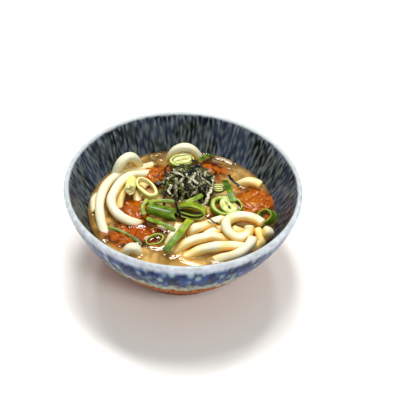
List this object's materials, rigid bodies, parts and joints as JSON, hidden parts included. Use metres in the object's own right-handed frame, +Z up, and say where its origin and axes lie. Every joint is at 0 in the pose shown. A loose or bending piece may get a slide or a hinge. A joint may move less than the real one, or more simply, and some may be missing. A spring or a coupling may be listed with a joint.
{
  "type": "udon noodle bowl",
  "caption": "Round footed bowl of thick wheat noodles in broth, topped with spring onion rings and strips, red relish and a heap of shredded nori.",
  "frame": {"origin": "centre of the foot ring, on the surface that the bowl stands on", "axes": "+Z up along the bowl's axis; -Y towards the diner at the front; +X to the diner's right"},
  "size_m": [0.156, 0.156, 0.07],
  "materials": {
    "glaze": "gloss",
    "noodle": "wet, cooked wheat noodle",
    "onion": "wet, fresh leaf",
    "relish": "wet, oily chopped relish",
    "nori": "dry, slightly shiny seaweed",
    "broth": "liquid surface"
  },
  "bodies": {
    "root": {"bowl": "glaze", "noodles": "noodle", "onion_ring_left": "onion", "onion_stack_left": "onion", "onion_tube_middle": "onion", "onion_loop_middle": "onion", "onion_ring_right": "onion", "onion_chip_right": "onion", "onion_curl_wall": "onion", "onion_ring_back": "onion", "onion_ring_front": "onion", "onion_leaf_front": "onion", "onion_strip_front": "onion", "onion_strip_middle": "onion", "onion_leaf_middle": "onion", "onion_curl_left": "onion", "onion_strip_right": "onion", "onion_strip_back": "onion", "onion_strip_sunk": "onion", "relish_back": "relish", "relish_far": "relish", "relish_left": "relish", "relish_front": "relish", "relish_right": "relish", "nori": "nori", "broth": "broth"}
  },
  "joints": []
}
